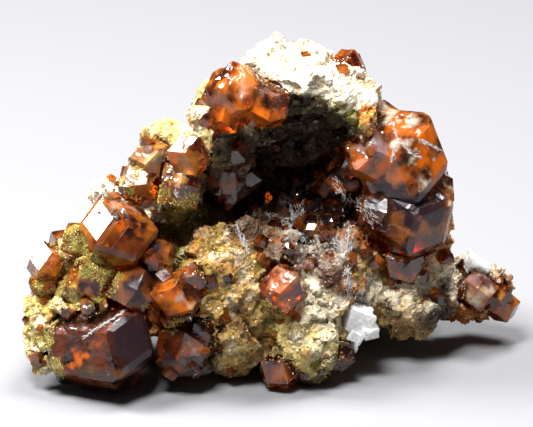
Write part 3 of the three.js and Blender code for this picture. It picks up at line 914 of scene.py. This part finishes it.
def chip_shape():
    """A small crystal fragment: a cube cut by flat planes."""
    chip = bmesh.new()
    bmesh.ops.create_cube(chip, size=1.5)
    for _ in range(5):
        normal = Vector((dice.gauss(0, 1), dice.gauss(0, 1), dice.gauss(0, 1))).normalized()
        cut_flat(chip, normal, dice.uniform(0.5, 0.8))
    return shape_parts(chip)


def grain_colours(places):
    """One colour for each grain: mostly its patch's, with rusty, black, creamy and pale ones among them."""
    hues = rock_patch_colours(places)
    for index in range(len(hues)):
        kind = dice.random()
        lightness = math.exp(dice.gauss(0, GRAIN_SPREAD))
        if kind < RUSTY_TO:
            hues[index] = 0.4 * hues[index] + 0.5 * np.array(RUST)
        elif kind < BLACK_TO:
            hues[index] *= 0.3
        elif kind < CREAMY_TO:
            hues[index] = 0.7 * hues[index] + 0.3 * np.array(CREAM) * min(1, hues[index].mean() / LIGHT_ROCK)
        elif kind < PALE_TO and hues[index].mean() > DARK_ROCK:
            hues[index] = 0.2 * hues[index] + 0.8 * np.array(CREAM)
        hues[index] *= lightness
    return np.clip(hues, 0.01, 0.92)


grain_finish, tree, shader, coordinates = new_material("mineral_grains")
cloud = grey(tree, ranged(tree, noisy(tree, coordinates, scale=1800, detail=3), (0.3, 0.7), (0.75, 1.2)))
tree.links.new(mixed(tree, "MULTIPLY", 1.0, tinted(tree), cloud), shader.inputs["Base Color"])
roughness = ranged(tree, noisy(tree, coordinates, scale=900, detail=2), (0.3, 0.7), (0.1, 0.5))
tree.links.new(roughness, shader.inputs["Roughness"])
shader.inputs["IOR"].default_value = 1.62
shader.inputs["Specular IOR Level"].default_value = 0.22
shader.inputs["Transmission Weight"].default_value = 0.25
bumped(tree, shader, noisy(tree, coordinates, scale=5000, detail=3), strength=0.4, distance=0.03 * MM)

grain_shapes = [chip_shape() for _ in range(GRAIN_SHAPES)]


def joined_grains(name, places, sizes):
    """A mesh of grains of those sizes, and the grain of each point."""
    turns = [random_turn() for _ in places]
    stretched = [[size * dice.uniform(*GRAIN_STRETCH) for _ in range(3)] for size in sizes]
    return joined_copies(name, grain_shapes, places, turns, stretched)


def add_grains(name, places, normals, finer=1):
    """A piece of grains at those places of a surface."""
    sizes = [dice.uniform(*GRAIN_SIZE) * finer * MM for _ in places]
    seats = [place - normal * size * GRAIN_SUNK for place, normal, size in zip(places, normals, sizes)]
    mesh, owners = joined_grains(name, seats, sizes)
    tint_mesh(mesh, grain_colours(np.array(seats) / MM)[owners], np.ones(len(owners)))
    new_piece(name, mesh, grain_finish)


weights = rock_areas * (rock_middles[:, 2] > GRAINS_FROM)
seats = picked(weights, GRAIN_PIECES * GRAINS_PER_PIECE, seed=5)
for number, part in enumerate(np.split(seats, GRAIN_PIECES), 1):
    add_grains(f"rock_grains_{number}", rock_middles[part], rock_normals[part])

rock_tree = BVHTree.FromPolygons(
    [vert.co for vert in rock_mesh.vertices], [face.vertices[:] for face in rock_mesh.polygons]
)


def in_the_open(seat):
    """Whether a crystal's face has no rock close before it."""
    outward = Vector(crystal_normals[seat])
    start = Vector(crystal_middles[seat]) + outward * 0.02 * MM
    return rock_tree.ray_cast(start, outward, OPEN_SPACE)[0] is None


by_rock = nearness(crystal_middles, rock_middles[::2], FRINGE_REACH)
patchy = np.array([swell(point, FRINGE_PATCHES) for point in crystal_middles])
weights = crystal_areas * by_rock * np.clip(patchy * 2 + 0.55, 0.02, 1)
seats = picked(weights, 3 * FRINGE_GRAINS, seed=8)
fringe = [seat for seat in seats if in_the_open(seat)][:FRINGE_GRAINS]
add_grains("fringe_grains", crystal_middles[fringe], crystal_normals[fringe], FRINGE_SIZE)

# Rind: thin skins of yellow-green matrix that cling to the crystals where the rock has broken off them.
# It is the same sugary mineral as the matrix, finer.
RIND_GRAINS = 3500
RIND_SIZE = (0.04, 0.1)
film_and_paint_hues, film_and_paint_covers = films_and_painted_light(crystal_middles)
rind_cover = film_and_paint_covers * (film_and_paint_hues == np.array(YELLOW_GREEN)).all(axis=1)
seats = picked(rind_cover * crystal_areas + 1e-16, RIND_GRAINS, seed=21)
sizes = [dice.uniform(*RIND_SIZE) * MM for _ in seats]
rind_mesh, owners = joined_grains("rind", crystal_middles[seats], sizes)
hues = film_and_paint_hues[seats] * np.array([[math.exp(dice.gauss(0, GRAIN_SPREAD))] for _ in seats])
tint_mesh(rind_mesh, np.clip(hues, 0.01, 0.92)[owners], np.ones(len(owners)))
new_piece("rind", rind_mesh, grain_finish)

# White veins: thin seams of fibrous calcite that filled cracks across the middle of the specimen and stand
# on its broken surface, and one straight streak of it on the largest crystal.
FIBRE_STEP = 0.45  # pixels from one fibre to the next
FIBRE_LENGTH = (0.15, 0.45)  # millimetres from a fibre's middle to its end
FIBRE_WIDTH = (0.02, 0.05)
FIBRE_LEAN = 0.35  # how far the fibres lie off their seam's direction
VEINS = [  # how far in pixels the fibres lie off the seam, and the seam's course in pixels across and down
    (2.4, [(284, 192), (291, 206), (297, 224), (304, 244)]),
    (1.6, [(303, 203), (297, 222), (286, 240)]),
    (2.4, [(268, 214), (282, 222), (298, 226)]),
    (2.2, [(334, 180), (345, 196), (349, 230), (347, 262), (350, 300)]),
    (2.0, [(322, 232), (337, 242), (347, 256)]),
    (3.0, [(352, 196), (366, 210), (378, 224)]),
    (1.8, [(232, 226), (243, 238), (247, 252)]),
    (1.0, [(398, 140), (408, 150), (420, 158)]),
    (1.0, [(392, 122), (398, 140), (392, 160)]),
    (1.0, [(420, 140), (440, 150)]),
    (0.5, [(84, 337), (104, 324), (125, 311)]),
]
fibre_places, fibre_turns, fibre_sizes = [], [], []
for spread, course in VEINS:
    for (from_across, from_down), (to_across, to_down) in zip(course, course[1:]):
        along = (right * (to_across - from_across) - up * (to_down - from_down)).normalized()
        steps = int(math.hypot(to_across - from_across, to_down - from_down) / FIBRE_STEP)
        for step in range(steps):
            across = from_across + (to_across - from_across) * step / steps + dice.gauss(0, spread)
            down = from_down + (to_down - from_down) * step / steps + dice.gauss(0, spread)
            place, _ = seen_at(across, down)
            if place is not None:
                lean = Vector([dice.gauss(0, FIBRE_LEAN) for _ in range(3)])
                fibre_places.append(place)
                fibre_turns.append((along + lean).to_track_quat("X", "Z"))
                width = dice.uniform(*FIBRE_WIDTH)
                fibre_sizes.append([dice.uniform(*FIBRE_LENGTH) * MM, width * MM, width * MM])
vein_finish, tree, shader, coordinates = new_material("fibrous_calcite")
fibres = noisy(tree, coordinates, scale=1500, detail=4)
white = mixed(tree, "MIX", fibres, (0.85, 0.84, 0.82), (0.5, 0.48, 0.46))
tree.links.new(white, shader.inputs["Base Color"])
roughness = ranged(tree, noisy(tree, coordinates, scale=2500, detail=3), (0.3, 0.7), (0.15, 0.5))
tree.links.new(roughness, shader.inputs["Roughness"])
shader.inputs["Transmission Weight"].default_value = 0.3
shader.inputs["IOR"].default_value = 1.6
vein_mesh, _ = joined_copies("white_veins", grain_shapes, fibre_places, fibre_turns, fibre_sizes)
new_piece("white_veins", vein_mesh, vein_finish)

# Calcite: the white cleavage blocks beside the front foot and on the right lobe, pearly, and clear at their
# thin edges. They grew last, in gaps of the rock, and broke along their cleavage.
CALCITE_EDGE = 0.05 * MM
CALCITE_LONGEST_EDGE = 0.35 * MM
CALCITE_ROUNDS = 4
CLEAVAGE_STEPS = (0.8, 0.12, 0.12)  # size in millimetres, depth and tilt
calcite_finish, tree, shader, coordinates = new_material("pearly_calcite")
clouds = noisy(tree, coordinates, scale=900, detail=5)
white = mixed(tree, "MIX", clouds, (0.97, 0.97, 0.96), (0.88, 0.87, 0.85))
tree.links.new(white, shader.inputs["Base Color"])
roughness = ranged(tree, noisy(tree, coordinates, scale=1500, detail=4), (0.3, 0.7), (0.15, 0.5))
tree.links.new(roughness, shader.inputs["Roughness"])
shader.inputs["Transmission Weight"].default_value = 0.2
shader.inputs["Subsurface Weight"].default_value = 0.7
shader.inputs["Subsurface Radius"].default_value = (1, 1, 1)
shader.inputs["Subsurface Scale"].default_value = 1.2 * MM
shader.inputs["IOR"].default_value = 1.6
bumped(tree, shader, noisy(tree, coordinates, scale=1500, detail=4), strength=0.4, distance=0.05 * MM)
for node in ("calcite", "calcite_lobe"):
    block = whole_faces(node)
    block = worn_edges(block, block.edges[:], CALCITE_EDGE, CALCITE_LONGEST_EDGE, CALCITE_ROUNDS)
    for vert in block.verts:
        vert.co += vert.normal * chipped(vert.co / MM, *CLEAVAGE_STEPS) * MM
        vert.co.z = max(vert.co.z, 0)
    block_mesh = bpy.data.meshes.new(node)
    block.to_mesh(block_mesh)
    block.free()
    drop_doubled_faces(block_mesh)
    piece = new_piece(node + "_blocks", block_mesh, calcite_finish)
    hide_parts(node)

# Floor: a plain pale board that the specimen stands on, loose. It is no part of the specimen and is only
# there to catch its shadow.
FLOOR_REACH = 1.5
floor_mesh = bpy.data.meshes.new("floor")
floor_form = bmesh.new()
bmesh.ops.create_grid(floor_form, x_segments=1, y_segments=1, size=FLOOR_REACH)
floor_form.to_mesh(floor_mesh)
floor_form.free()
floor_finish, _, shader, _ = new_material("pale_floor")
shader.inputs["Base Color"].default_value = (0.21, 0.21, 0.22, 1)
shader.inputs["Roughness"].default_value = 0.9
floor = bpy.data.objects.new("floor", floor_mesh)
bpy.context.scene.collection.objects.link(floor)
floor_mesh.materials.append(floor_finish)

# Light: soft boxes above the specimen and a little to its left, as in the photograph, and a dim even
# surround that keeps the hollow from going black.
LIT_POINT = Vector((0, 0, 14 * MM))
SURROUND_STRENGTH = 0.07


def soft_box(name, place, size, power):
    """A square lamp of that size in metres and power in watts, turned to the specimen."""
    lamp = bpy.data.lights.new(name, "AREA")
    lamp.size = size
    lamp.energy = power
    box = bpy.data.objects.new(name, lamp)
    box.location = place
    box.rotation_euler = (LIT_POINT - box.location).to_track_quat("-Z", "Y").to_euler()
    bpy.context.scene.collection.objects.link(box)


soft_box("left_box", Vector((-0.20, 0.04, 0.26)), 0.10, 2.0)
soft_box("top_box", Vector((0.05, 0.06, 0.34)), 0.12, 1.9)
soft_box("front_box", Vector((-0.06, -0.14, 0.32)), 0.10, 2.1)
surround = bpy.data.worlds.new("surround")
surround.use_nodes = True
surround.node_tree.nodes["Background"].inputs["Color"].default_value = (0.9, 0.94, 1, 1)
surround.node_tree.nodes["Background"].inputs["Strength"].default_value = SURROUND_STRENGTH
bpy.context.scene.world = surround
bpy.context.scene.view_settings.view_transform = "Standard"
